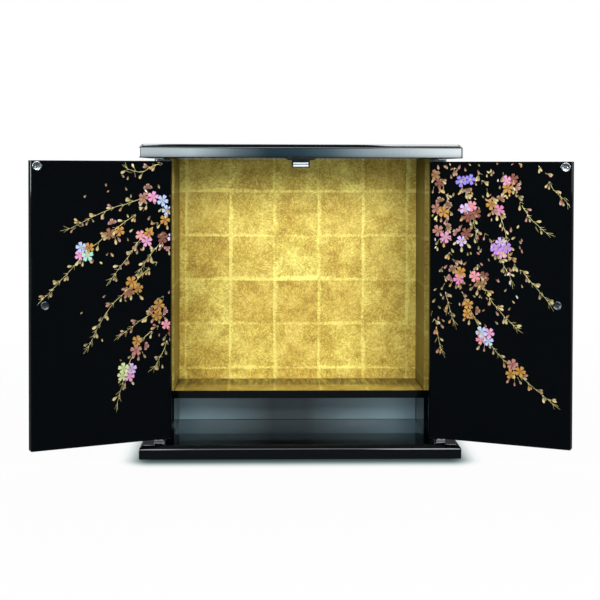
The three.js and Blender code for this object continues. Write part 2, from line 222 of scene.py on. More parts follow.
class Surface:
    """The node tree of one material, or of the world."""

    def __init__(self, name, store="materials"):
        self.material = getattr(bpy.data, store).new(name)
        self.material.use_nodes = True
        self.tree = self.material.node_tree
        self.tree.nodes.clear()

    def node(self, kind, settings=None, values=None):
        """A node of any type: its settings first, then the value or link of each socket."""
        made = self.tree.nodes.new(kind)
        for key, setting in (settings or {}).items():
            if key == "stops":
                self.set_stops(made.color_ramp, setting)
            else:
                setattr(made, key, setting)
        for key, value in (values or {}).items():
            socket = value.socket if isinstance(value, Quantity) else value
            if isinstance(socket, bpy.types.NodeSocket):
                self.tree.links.new(socket, made.inputs[key])
            else:
                made.inputs[key].default_value = socket
        return made

    def set_stops(self, ramp, stops):
        while len(ramp.elements) < len(stops):
            ramp.elements.new(0.5)
        for element, (place, colour) in zip(ramp.elements, stops):
            element.position = place
            element.color = (*colour, 1)

    def quantity(self, socket):
        return Quantity(self, socket)

    def place(self):
        """Object coordinates, as a vector socket."""
        return self.node("ShaderNodeTexCoord").outputs["Object"]

    def axes(self):
        split = self.node("ShaderNodeSeparateXYZ", None, {0: self.place()})
        return [self.quantity(output) for output in split.outputs]

    def vector(self, x, y, z):
        return self.node("ShaderNodeCombineXYZ", None, {0: x, 1: y, 2: z}).outputs[0]

    def noise(self, vector, scale, detail=3.0, roughness=0.55):
        made = self.node("ShaderNodeTexNoise", None,
                         {"Vector": vector, "Scale": scale, "Detail": detail, "Roughness": roughness})
        return self.quantity(made.outputs["Fac"])

    def chance(self, vector):
        """One random number for each cell."""
        made = self.node("ShaderNodeTexWhiteNoise", {"noise_dimensions": "3D"}, {"Vector": vector})
        return self.quantity(made.outputs["Value"])

    def ramp(self, value, stops):
        return self.node("ShaderNodeValToRGB", {"stops": stops}, {0: value}).outputs["Color"]

    def mix(self, factor, first, second):
        made = self.node("ShaderNodeMix", {"data_type": "RGBA"}, {0: factor, 6: first, 7: second})
        return made.outputs[2]

    def bump(self, height, strength, distance):
        made = self.node("ShaderNodeBump", None, {"Strength": strength, "Distance": distance, "Height": height})
        return made.outputs["Normal"]

    def blend(self, factor, first, second):
        """Two shaders, mixed."""
        return self.node("ShaderNodeMixShader", None, {0: factor, 1: first, 2: second}).outputs[0]

    def glow(self, colour, strength, kind="Emission"):
        return self.node(f"ShaderNode{kind}", None, {"Color": colour, "Strength": strength}).outputs[0]

    def output(self, shader, kind="Material"):
        self.node(f"ShaderNodeOutput{kind}", None, {0: shader})
        return self.material

    def finish(self, values):
        """A Principled shader with these values and links, as the whole material."""
        return self.output(self.node("ShaderNodeBsdfPrincipled", None, values).outputs[0])


def rgba(colour):
    return (*colour, 1.0)


# Finishes

BOARD_SPECULAR = 0.7
DOOR_SPECULAR = 0.16
LEAF_METALLIC = 0.35
LINING_FRONT = -23 * MM
RECESS_REACH = 282 * MM
CREVICE_SHADE_REACH = 280.9 * MM
SKIN = 0.5 * MM


def painted_sheen_ends(surface):
    """0 in the middle of the lower recess, 1 at its ends: the share of a painted reflection, brightest at the ends.
    """
    x, _, _ = surface.axes()
    return x.maths("ABSOLUTE", x + 20 * MM).between(40 * MM, 280 * MM)


def mirror_lacquer(name, specular, recess_floor=None):
    """Black lacquer polished to a mirror, with the faintest waviness and haze. Above the height of the recess
    floor, between the recess's linings, it is a satin painted with a pale bluish reflection, brightest
    towards the ends."""
    settings = bpy.context.scene.altar_lacquer
    surface = Surface(name)
    place = surface.place()
    haze = surface.noise(place, 9.0, 4.0)
    wave = surface.noise(place, 14.0, 1.0)
    dust = surface.noise(place, 900.0, 1.0).between(0.72, 0.8)
    roughness = haze.between(0.35, 0.75) * 0.03 + settings.gloss_roughness + dust * 0.05
    colour = surface.mix(dust * 0.12, rgba(settings.black), rgba(srgb(60, 62, 64)))
    if recess_floor:
        x, y, z = surface.axes()
        # Painted reflection: between the linings the recess floor is painted a pale bluish sheen, brightest at its
        # ends, and its roughness is raised to a satin.
        rubbing_and_painted_sheen = (z > recess_floor - SKIN) * (y > LINING_FRONT) * (x.maths("ABSOLUTE", x) < RECESS_REACH)
        colour = surface.mix(rubbing_and_painted_sheen * (painted_sheen_ends(surface) * 0.85 + 0.15), colour, rgba(srgb(88, 116, 126)))
        roughness = roughness + rubbing_and_painted_sheen * 0.1
    return surface.finish({
        "Base Color": colour,
        "Roughness": roughness,
        "Specular IOR Level": specular,
        "Normal": surface.bump(wave, 0.02, 0.4 * MM),
    })


def satin_lacquer_painted_sheen():
    """Black lacquer with an even satin finish, painted with a pale bluish reflection towards its ends and a painted
    shade along its top.
    """
    settings = bpy.context.scene.altar_lacquer
    surface = Surface("satin_lacquer_painted_sheen")
    place = surface.place()
    cloud = surface.noise(place, 12.0, 3.0)
    grain = surface.noise(place, 1600.0, 2.0)
    _, _, z = surface.axes()
    # Painted reflection, pale and bluish, brightest towards the ends, and painted shade along the top of the recess
    # back.
    rubbing_and_painted_sheen = (painted_sheen_ends(surface) + cloud * 0.1) * (1 - z.between(92 * MM, 106 * MM) * 0.6)
    colour = surface.mix(rubbing_and_painted_sheen, rgba(srgb(16, 34, 42)), rgba(srgb(172, 204, 214)))
    return surface.finish({
        "Base Color": colour,
        "Roughness": cloud * 0.06 + settings.satin_roughness,
        "IOR": 1.8,
        "Normal": surface.bump(grain, 0.06, 0.05 * MM),
    })


# A seam of the leaf lies at each of these, in the frame's coordinates
SEAM_ACROSS = -164.0 * MM
SEAM_UP = 151.5 * MM
SEAM_DEEP = 32.8 * MM


def leaf_pattern(surface, across, up, seam_across, seam_up):
    """Colour, roughness and height of square leaves laid edge over edge, each brushed out from its middle."""
    settings = bpy.context.scene.altar_leaf
    place = surface.place()
    drift = surface.noise(place, 7.0, 2.0) - 0.5
    ragged = surface.noise(place, 110.0, 4.0, 0.7) - 0.5
    u = (across - seam_across) / settings.pitch + drift * 0.05 + ragged * 0.045
    v = (up - seam_up) / settings.pitch + drift * 0.04 + ragged * 0.045
    column = u.floor()
    row = v.floor()
    tone = surface.chance(surface.vector(column, row, 0.5))
    other = surface.chance(surface.vector(row, column, 3.5))
    third = surface.chance(surface.vector(column, row, 7.5))
    in_leaf = (u - column, v - row)

    least = settings.overlap / settings.pitch
    bands = []
    for place_in_leaf, fate, seed in ((in_leaf[0], other, 2.5), (in_leaf[1], third, 9.5)):
        wander = surface.noise(surface.vector(u * 1.3, v * 1.3, seed), 1.0, 2.0).between(0.35, 0.7)
        width = wander * 0.07 + fate * 0.045 + least
        bands.append((1 - place_in_leaf.maths("DIVIDE", place_in_leaf, width, clamp=True) ** 4) * (fate * 0.6 + 0.4))
    seam = bands[0].larger(bands[1])

    out_u = in_leaf[0] - 0.5 + (tone - 0.5) * 0.3
    out_v = in_leaf[1] - 0.5 + (other - 0.5) * 0.3
    reach = (out_u * out_u + out_v * out_v).root() + 0.015
    rays = surface.noise(
        surface.vector(out_u / reach * 7.4 + tone * 19.0, out_v / reach * 7.4 + other * 23.0,
                       reach * 9.0 + ragged * 6.0),
        2.4, 2.0, 0.55).between(0.36, 0.64)
    mottle = surface.noise(place, 250.0, 3.0, 0.65).between(0.36, 0.66)
    patches = surface.noise(place, 26.0, 3.0, 0.6).between(0.36, 0.66)
    heart = 1 - reach.between(0.02, 0.2)

    light = rays * 0.38 + mottle * 0.34 + patches * 0.36 + tone * 0.18 + heart * (third - 0.4) * 0.12 - 0.15
    light = (light + seam * 0.34).clamped()
    colour = surface.ramp(light, [
        (0.06, tuple(settings.shadow)), (0.42, tuple(settings.body)), (0.88, tuple(settings.light))])
    warm = surface.mix((patches * other) * 0.3, colour, rgba(srgb(206, 152, 66)))
    roughness = settings.roughness + mottle * 0.12 - seam * 0.08
    return warm, roughness, light


def gold_leaf(name, across_axis, up_axis, seam_across, seam_up, painted_shade):
    """Leafed wall. The given share of its colour is painted shade, a darker, greener gold, less on its front edge.
    """
    surface = Surface(name)
    axes = surface.axes()
    colour, roughness, height = leaf_pattern(surface, axes[across_axis], axes[up_axis], seam_across, seam_up)
    if painted_shade:
        # Painted shade: the side wall is darkened towards an olive gold, a little less on its front edge.
        behind_edge = axes[1] > LINING_FRONT + 0.7 * MM
        colour = surface.mix(behind_edge * 0.3 + (painted_shade - 0.3), colour, rgba(srgb(66, 60, 10)))
    return surface.finish({
        "Base Color": colour,
        "Metallic": LEAF_METALLIC,
        "Roughness": roughness,
        "Normal": surface.bump(height, 0.25, 0.35 * MM),
    })


def gilded_shelf(shelf_low, shelf_high):
    """Gold leaf on the shelf's top, black lacquer on its edges. The gold is deepened all over, with a painted dark
    reflection, streaked, towards the back, and painted shade in the gaps at its ends.
    """
    settings = bpy.context.scene.altar_lacquer
    surface = Surface("gilded_shelf")
    x, y, z = surface.axes()
    colour, roughness, height = leaf_pattern(surface, x, y, SEAM_ACROSS, SEAM_DEEP)
    gilded = (z > shelf_high.z - SKIN) * (y > shelf_low.y - 1 * MM)
    # Painted shade: a near-black line in the gaps at the shelf's ends where the linings stand.
    crevice_shade = (x.maths("ABSOLUTE", x) > CREVICE_SHADE_REACH) * 0.93
    # Painted reflection: dark streaks towards the back, over a darker gold tone for the whole shelf.
    reflection_streaks = surface.noise(surface.vector(x * 120, y * 14, z), 1.0, 3.0).between(0.3, 0.62)
    tone_and_painted_reflection = y.between(10 * MM, 60 * MM) * (reflection_streaks * 0.55 + 0.12) + 0.28
    colour = surface.mix(tone_and_painted_reflection, colour, rgba(srgb(66, 54, 14)))
    colour = surface.mix(crevice_shade, colour, rgba(srgb(16, 14, 8)))
    return surface.finish({
        "Base Color": surface.mix(gilded, rgba(settings.black), colour),
        "Metallic": gilded * LEAF_METALLIC,
        "Roughness": gilded * (roughness - 0.08) + 0.08,
        "Specular IOR Level": BOARD_SPECULAR,
        "Normal": surface.bump(height * gilded, 0.25, 0.35 * MM),
    })


def plated_steel(name, shade=None):
    """Plated steel with fine rubbing and a slightly uneven surface. A shade gives a dark, duller plating."""
    settings = bpy.context.scene.altar_metal
    surface = Surface(name)
    place = surface.place()
    rubbing_and_painted_sheen = surface.noise(place, 1500.0, 2.0)
    dents = surface.noise(place, 260.0, 2.0)
    colour = surface.mix(dents.between(0.4, 0.62) * 0.6, rgba(settings.steel), rgba(srgb(104, 110, 114)))
    if shade:
        colour = surface.mix(0.85, colour, rgba(shade))
    return surface.finish({
        "Base Color": colour,
        "Metallic": 1.0,
        "Roughness": rubbing_and_painted_sheen * 0.1 + settings.roughness + (0.16 if shade else 0.0),
        "Normal": surface.bump(dents, 0.1, 0.2 * MM),
    })


def brushed_steel():
    """The poles of the catch, ground bright along their length."""
    surface = Surface("brushed_steel")
    x, y, z = surface.axes()
    lines = surface.noise(surface.vector(x * 60, y * 3000, z * 3000), 1.0, 2.0)
    return surface.finish({
        "Base Color": surface.mix(lines * 0.4, rgba(srgb(236, 240, 243)), rgba(srgb(196, 202, 206))),
        "Metallic": 1.0,
        "Roughness": lines * 0.1 + 0.42,
        "Normal": surface.bump(lines, 0.1, 0.03 * MM),
    })


def moulded_plastic():
    settings = bpy.context.scene.altar_metal
    surface = Surface("moulded_plastic")
    grain = surface.noise(surface.place(), 2200.0, 2.0)
    return surface.finish({
        "Base Color": surface.mix(grain * 0.25, rgba(settings.plastic), rgba(srgb(52, 56, 60))),
        "Roughness": grain * 0.15 + 0.34,
        "Normal": surface.bump(grain, 0.08, 0.05 * MM),
    })


def inlay_surface(name, metallic, roughness, pearl):
    """Inlay that takes its colour from the pieces' tint. Pearl shifts it as shell does."""
    surface = Surface(name)
    tint = surface.node("ShaderNodeVertexColor", {"layer_name": "tint"}).outputs["Color"]
    place = surface.place()
    powder = surface.noise(place, 2600.0, 2.0)
    if pearl:
        sheets = surface.noise(place, 190.0, 2.0)
        sheen = surface.ramp(sheets.between(0.3, 0.7), [
            (0.0, srgb(190, 250, 226)), (0.5, srgb(246, 240, 255)), (1.0, srgb(238, 176, 246))])
        shaded = surface.mix(0.12, tint, sheen)
    else:
        shaded = surface.mix(powder.between(0.3, 0.75) * 0.3, tint, rgba(srgb(40, 28, 14)))
    return surface.finish({
        "Base Color": shaded,
        "Metallic": metallic,
        "Roughness": powder * 0.2 + roughness,
        "Normal": surface.bump(powder, 0.15, 0.04 * MM),
    })


def floor_surface(radius, half_width, half_depth):
    """A pale floor that fades out towards its rim, with a soft shade where the base stands on it."""
    settings = bpy.context.scene.altar_stage
    surface = Surface("pale_floor")
    x, y, _ = surface.axes()
    away = (x * x + y * y).root()
    beside = (x.maths("ABSOLUTE", x) - (half_width - 0.03)).larger(0.0)
    before = (y.maths("ABSOLUTE", y) - half_depth).larger(0.0)
    clear_of_base = (beside * beside + before * before).root() + surface.noise(surface.place(), 6.0) * 0.004
    shade = surface.ramp(clear_of_base.between(0.0, 0.078), [
        (0.0, srgb(36, 54, 52)), (0.2, srgb(72, 92, 89)), (0.34, srgb(102, 120, 117)), (0.5, srgb(166, 178, 176)),
        (0.66, srgb(214, 221, 220)), (0.82, srgb(243, 247, 247)), (1.0, srgb(254, 254, 254))])
    path = surface.node("ShaderNodeLightPath")
    lit = surface.node("ShaderNodeBsdfPrincipled", None,
                       {"Base Color": rgba(settings.floor), "Roughness": 0.9, "Specular IOR Level": 0.0})
    to_camera = surface.quantity(path.outputs["Is Camera Ray"]) * 0.97
    seen = surface.blend(to_camera, lit.outputs[0], surface.glow(shade, 1.0))
    dark = surface.glow((0.3, 0.33, 0.35, 1), settings.gloss)
    mirrored = surface.blend(path.outputs["Is Glossy Ray"], seen, dark)
    clear = surface.node("ShaderNodeBsdfTransparent").outputs[0]
    return surface.output(surface.blend(away.between(radius * 0.42, radius * 0.97), mirrored, clear))


def card_surface():
    """The glow of the card that the boards' fronts mirror: bright at its ends and dim in the middle."""
    surface = Surface("glow_card")
    x, _, z = surface.axes()
    glow = surface.ramp(x.between(-1.1, 1.1), [
        (0.0, (0.0, 0.0, 0.0)), (0.09, (0.4, 0.44, 0.46)), (0.305, (0.42, 0.5, 0.52)), (0.4, (0.1, 0.14, 0.155)),
        (0.467, (0.018, 0.036, 0.046)), (0.535, (0.022, 0.046, 0.062)), (0.6, (0.06, 0.1, 0.12)),
        (0.675, (0.23, 0.29, 0.32)), (0.88, (0.7, 0.78, 0.8)), (1.0, (0.0, 0.0, 0.0))])
    ends = z.between(0.665, 0.69) * (1 - z.between(0.8, 0.86)) + (z < 0.22) * 0.2
    colour = surface.mix(ends, (0, 0, 0, 1), glow)
    return surface.output(surface.glow(colour, bpy.context.scene.altar_stage.card))


# Modelling helpers


def choose(*objects):
    """Selects these objects alone."""
    bpy.ops.object.select_all(action="DESELECT")
    for item in objects:
        item.select_set(True)
    bpy.context.view_layer.objects.active = objects[0]


def linked(name, data):
    """A new object for this data, in the scene."""
    made = bpy.data.objects.new(name, data)
    bpy.context.scene.collection.objects.link(made)
    return made


def add(kind, name, **settings):
    """A new mesh primitive, which alone is selected."""
    bpy.ops.object.select_all(action="DESELECT")
    getattr(bpy.ops.mesh, f"primitive_{kind}_add")(**settings)
    piece = bpy.context.object
    piece.name = name
    return piece


@contextlib.contextmanager
def editing(*kinds):
    """Edit mode on the active piece, with everything selected, or nothing when a kind of element is given."""
    bpy.ops.object.mode_set(mode="EDIT")
    for kind in kinds:
        bpy.ops.mesh.select_mode(type=kind)
    bpy.ops.mesh.select_all(action="DESELECT" if kinds else "SELECT")
    yield
    bpy.ops.object.mode_set(mode="OBJECT")


def apply_modifier(piece, kind, **settings):
    modifier = piece.modifiers.new(kind.lower(), kind)
    for key, value in settings.items():
        setattr(modifier, key, value)
    choose(piece)
    bpy.ops.object.modifier_apply(modifier=modifier.name)


def block(name, low, high):
    """A block between two corners, with its place in its mesh."""
    low, high = Vector(low), Vector(high)
    piece = add("cube", name, size=1, location=(low + high) / 2)
    piece.scale = high - low
    bpy.ops.object.transform_apply(location=True, rotation=True, scale=True)
    return piece


def soften(piece, radius, segments=3, angle=40):
    """Rounds the sharp edges and keeps the flat faces flat in the reflections."""
    apply_modifier(piece, "BEVEL", width=radius, segments=segments, limit_method="ANGLE",
                   angle_limit=math.radians(angle), use_clamp_overlap=True)
    polish(piece)


def polish(piece, angle=40):
    choose(piece)
    bpy.ops.object.shade_smooth_by_angle(angle=math.radians(angle))
    apply_modifier(piece, "WEIGHTED_NORMAL", mode="FACE_AREA", weight=80, keep_sharp=True)


def select_edges(piece, wanted):
    """Selects the edges whose two ends pass the test, and goes into edit mode."""
    with editing("EDGE"):
        pass
    for edge in piece.data.edges:
        edge.select = wanted(*(piece.data.vertices[v].co for v in edge.vertices))
    bpy.ops.object.mode_set(mode="EDIT")


def bevel_edges(piece, wanted, width, segments):
    choose(piece)
    select_edges(piece, wanted)
    bpy.ops.mesh.bevel(offset=width, segments=segments, affect="EDGES", profile=0.5, clamp_overlap=True)
    bpy.ops.object.mode_set(mode="OBJECT")


def smooth_profile(points, steps):
    """More points on a smooth line through the given ones."""
    padded = [points[0], *points, points[-1]]
    line = []
    for before, start, end, after in zip(padded, padded[1:], padded[2:], padded[3:]):
        for step in range(steps):
            t = step / steps
            line.append(tuple(
                0.5 * (2 * b + (c - a) * t + (2 * a - 5 * b + 4 * c - d) * t ** 2
                       + (3 * b - a - 3 * c + d) * t ** 3)
                for a, b, c, d in zip(before, start, end, after)))
    return [*line, points[-1]]


def turned(name, profile, steps=48):
    """A solid of revolution about Y from (radius, along) pairs that start and end on the axis."""
    piece = add("plane", name, size=1)
    bpy.ops.object.mode_set(mode="EDIT")
    bpy.ops.mesh.select_mode(type="VERT")
    bpy.ops.mesh.select_all(action="SELECT")
    bpy.ops.mesh.merge(type="CENTER")
    bpy.ops.transform.translate(value=(*profile[0], 0))
    for (radius, along), (next_radius, next_along) in zip(profile, profile[1:]):
        bpy.ops.mesh.extrude_region_move(
            TRANSFORM_OT_translate={"value": (next_radius - radius, next_along - along, 0)})
    bpy.ops.mesh.select_all(action="SELECT")
    bpy.ops.mesh.spin(steps=steps, angle=math.tau, center=(0, 0, 0), axis=(0, 1, 0))
    bpy.ops.mesh.select_all(action="SELECT")
    bpy.ops.mesh.remove_doubles(threshold=NEAR)
    bpy.ops.mesh.normals_make_consistent(inside=False)
    bpy.ops.object.mode_set(mode="OBJECT")
    return piece


def smooth_copy(name, node):
    """A merged, smoothly shaded copy of a frame node."""
    piece = linked(name, frame["nodes"][node].data.copy())
    piece.data.materials.clear()
    choose(piece)
    with editing():
        bpy.ops.mesh.remove_doubles(threshold=0.005 * MM)
        bpy.ops.mesh.dissolve_limited(angle_limit=FLAT)
    polish(piece, 35)
    return piece


def settle(piece, body, nodes, material):
    """Gives a piece its finish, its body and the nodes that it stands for."""
    piece.data.materials.clear()
    piece.data.materials.append(material)
    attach(piece, body)
    if nodes:
        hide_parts(*nodes)


# The doors' own frame: the pin's axis is Z, +Y is the inner face's side, and the door is closed


def door_place(word, side):
    """From the door's own frame to where the door rests, open."""
    joint = JOINTS[f"{word}_door"]
    x, y, _ = joint["pos_m"]
    opened = Matrix.Rotation(side * math.radians(joint["range_deg"][1]), 4, "Z")
    return Matrix.Translation((x, y, 0)) @ opened


def door_reach(word):
    settings = bpy.context.scene.altar_door
    return abs(JOINTS[f"{word}_door"]["pos_m"][0]) - settings.centre_gap / 2


# Pieces


class ALTAR_OT_boards(bpy.types.Operator):
    """Base board and top board, chamfered along the front and the ends, bored for the doors' pins"""

    bl_idname = "altar.boards"
    bl_label = "Boards"

    pin_bore = 2.2 * MM

    def board(self, node):
        settings = bpy.context.scene.altar_lacquer
        low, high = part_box(node)
        piece = block(f"{node}_lacquered", low, high)

        def at(value, target):
            return abs(value - target) < NEAR

        def upper_edge(a, b):
            on_top = at(a.z, high.z) and at(b.z, high.z)
            return on_top and not (at(a.y, high.y) and at(b.y, high.y))

        def front_corner(a, b):
            lower = min((a, b), key=lambda point: point.z)
            upper = max((a, b), key=lambda point: point.z)
            at_corner = at(lower.y, low.y) and min(abs(lower.x - low.x), abs(lower.x - high.x)) < NEAR
            return at_corner and upper.z - lower.z > settings.chamfer / 2

        bevel_edges(piece, upper_edge, settings.chamfer, 1)
        bevel_edges(piece, front_corner, settings.corner_radius, 5)
        return piece

    def execute(self, context):
        settings = context.scene.altar_lacquer
        _, base_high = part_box("base_board")
        top = mirror_lacquer("board_lacquer", BOARD_SPECULAR)
        base = mirror_lacquer("base_lacquer", BOARD_SPECULAR, base_high.z)
        for node, lacquer in (("base_board", base), ("top_board", top)):
            piece = self.board(node)
            apply_modifier(piece, "BEVEL", width=settings.arris, segments=3, limit_method="ANGLE",
                           angle_limit=math.radians(30), use_clamp_overlap=True)
            for word, _ in SIDES:
                self.bore(piece, node, word)
            polish(piece, 40)
            settle(piece, "cabinet", [node], lacquer)
        return {"FINISHED"}

    def bore(self, piece, node, word):
        """Cuts the hole that a door's pin turns in."""
        x, y, _ = JOINTS[f"{word}_door"]["pos_m"]
        low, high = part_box(node)
        pin_low, pin_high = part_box(f"hinge_{'lower' if node == 'base_board' else 'upper'}_{word}")
        bottom = pin_low.z - 1 * MM if node == "base_board" else low.z - 1 * MM
        top = high.z + 1 * MM if node == "base_board" else pin_high.z + 1 * MM
        cutter = add("cylinder", "pin_cutter", vertices=32, radius=self.pin_bore, depth=top - bottom,
                     location=(x, y, (top + bottom) / 2))
        apply_modifier(piece, "BOOLEAN", object=cutter, operation="DIFFERENCE", solver="EXACT")
        bpy.data.objects.remove(cutter)


class ALTAR_OT_carcass(bpy.types.Operator):
    """Side panels, back board and black recess linings"""

    bl_idname = "altar.carcass"
    bl_label = "Carcass"

    def execute(self, context):
        settings = context.scene.altar_lacquer
        gloss = bpy.data.materials["board_lacquer"]
        satin = satin_lacquer_painted_sheen()
        dim = mirror_lacquer("lining_lacquer", DOOR_SPECULAR)
        rows = [("back_board", gloss, "black_lacquer"), ("recess_back", satin, "satin_black")]
        for word, _ in SIDES:
            rows.append((f"side_panel_{word}", gloss, "black_lacquer"))
            rows.append((f"recess_side_{word}", dim, "black_lacquer"))
        for node, material, slot in rows:
            piece = block(f"{node}_finished", *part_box(node))
            soften(piece, settings.fine_arris)
            settle(piece, "cabinet", [node], material)
        return {"FINISHED"}


class ALTAR_OT_alcove(bpy.types.Operator):
    """Gilded walls of the alcove and its gilded shelf"""

    bl_idname = "altar.alcove"
    bl_label = "Alcove"

    rebate = 0.8 * MM

    def shelf(self, low, high):
        """The shelf, with a shallow rebate round its ends and back for the linings to stand in."""
        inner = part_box("alcove_side_right")[0].x - FIT_GAP
        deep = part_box("alcove_back")[0].y - FIT_GAP
        piece = block("shelf_gilded", low, (high.x, high.y, high.z - self.rebate))
        bpy.ops.object.mode_set(mode="EDIT")
        for point, normal in (((-inner, 0, 0), (1, 0, 0)), ((inner, 0, 0), (1, 0, 0)), ((0, deep, 0), (0, 1, 0))):
            bpy.ops.mesh.select_all(action="SELECT")
            bpy.ops.mesh.bisect(plane_co=point, plane_no=normal)
        bpy.ops.mesh.select_mode(type="FACE")
        bpy.ops.mesh.select_all(action="DESELECT")
        bpy.ops.object.mode_set(mode="OBJECT")
        for face in piece.data.polygons:
            middle = face.center
            face.select = face.normal.z > 0.9 and abs(middle.x) < inner and middle.y < deep
        bpy.ops.object.mode_set(mode="EDIT")
        bpy.ops.mesh.extrude_region_move(TRANSFORM_OT_translate={"value": (0, 0, self.rebate)})
        bpy.ops.mesh.select_all(action="SELECT")
        bpy.ops.mesh.dissolve_limited(angle_limit=FLAT)
        bpy.ops.object.mode_set(mode="OBJECT")
        return piece

    def execute(self, context):
        fine = context.scene.altar_lacquer.fine_arris
        back = gold_leaf("gold_leaf_back", 0, 2, SEAM_ACROSS, SEAM_UP, 0)
        rows = [("alcove_back", back)]
        # How much painted shade darkens each side wall, left and then right
        for (word, _), painted_shade in zip(SIDES, (0.7, 0.84)):
            wall = gold_leaf(f"gold_leaf_{word}", 1, 2, SEAM_DEEP, SEAM_UP, painted_shade)
            rows.append((f"alcove_side_{word}", wall))
        for node, material in rows:
            piece = block(f"{node}_gilded", *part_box(node))
            soften(piece, fine)
            settle(piece, "cabinet", [node], material)
        low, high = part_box("shelf_board")
        shelf = self.shelf(low, high)
        soften(shelf, fine * 0.5)
        settle(shelf, "cabinet", ["shelf_board"], gilded_shelf(low, high))
        return {"FINISHED"}


class ALTAR_OT_doors(bpy.types.Operator):
    """The two lacquered doors, each with its hinge edge rounded about the pin"""

    bl_idname = "altar.doors"
    bl_label = "Doors"

    def door(self, word, side):
        settings = bpy.context.scene.altar_door
        low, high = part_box(f"door_{word}")
        radius = settings.edge_radius
        height = high.z - low.z
        piece = add("cylinder", f"door_{word}_lacquered", vertices=96, radius=radius, depth=height,
                    location=(0, 0, low.z + height / 2))
        bpy.ops.object.transform_apply(location=True, rotation=True, scale=True)
        inner = settings.inner_offset
        outer = inner - settings.thickness
        bpy.ops.object.mode_set(mode="EDIT")
        towards = -side
        for point, normal in (((0, inner, 0), (0, 1, 0)), ((0, outer, 0), (0, -1, 0)),
                              ((0, 0, 0), (towards, 0, 0))):
            bpy.ops.mesh.select_all(action="SELECT")
            bpy.ops.mesh.bisect(plane_co=point, plane_no=normal, use_fill=True, clear_outer=True)
        bpy.ops.mesh.select_mode(type="FACE")
        bpy.ops.mesh.select_all(action="DESELECT")
        bpy.ops.object.mode_set(mode="OBJECT")
        for face in piece.data.polygons:
            face.select = face.normal.x * towards > 0.99
        bpy.ops.object.mode_set(mode="EDIT")
        bpy.ops.mesh.extrude_region_move(
            TRANSFORM_OT_translate={"value": (towards * door_reach(word), 0, 0)})
        bpy.ops.mesh.select_all(action="SELECT")
        bpy.ops.mesh.dissolve_limited(angle_limit=FLAT)
        bpy.ops.object.mode_set(mode="OBJECT")
        free_edge = towards * door_reach(word)

        def free_corner(a, b):
            return abs(a.x - free_edge) < NEAR and abs(b.x - free_edge) < NEAR and abs(a.z - b.z) > 0.1

        bevel_edges(piece, free_corner, settings.corner_radius, 4)
        apply_modifier(piece, "BEVEL", width=settings.arris, segments=4, limit_method="ANGLE",
                       angle_limit=math.radians(50), use_clamp_overlap=True)
        piece.data.transform(door_place(word, side))
        polish(piece, 25)
        return piece

    def execute(self, context):
        lacquer = mirror_lacquer("door_lacquer", DOOR_SPECULAR)
        for word, side in SIDES:
            settle(self.door(word, side), f"{word}_door", [f"door_{word}"], lacquer)
        return {"FINISHED"}


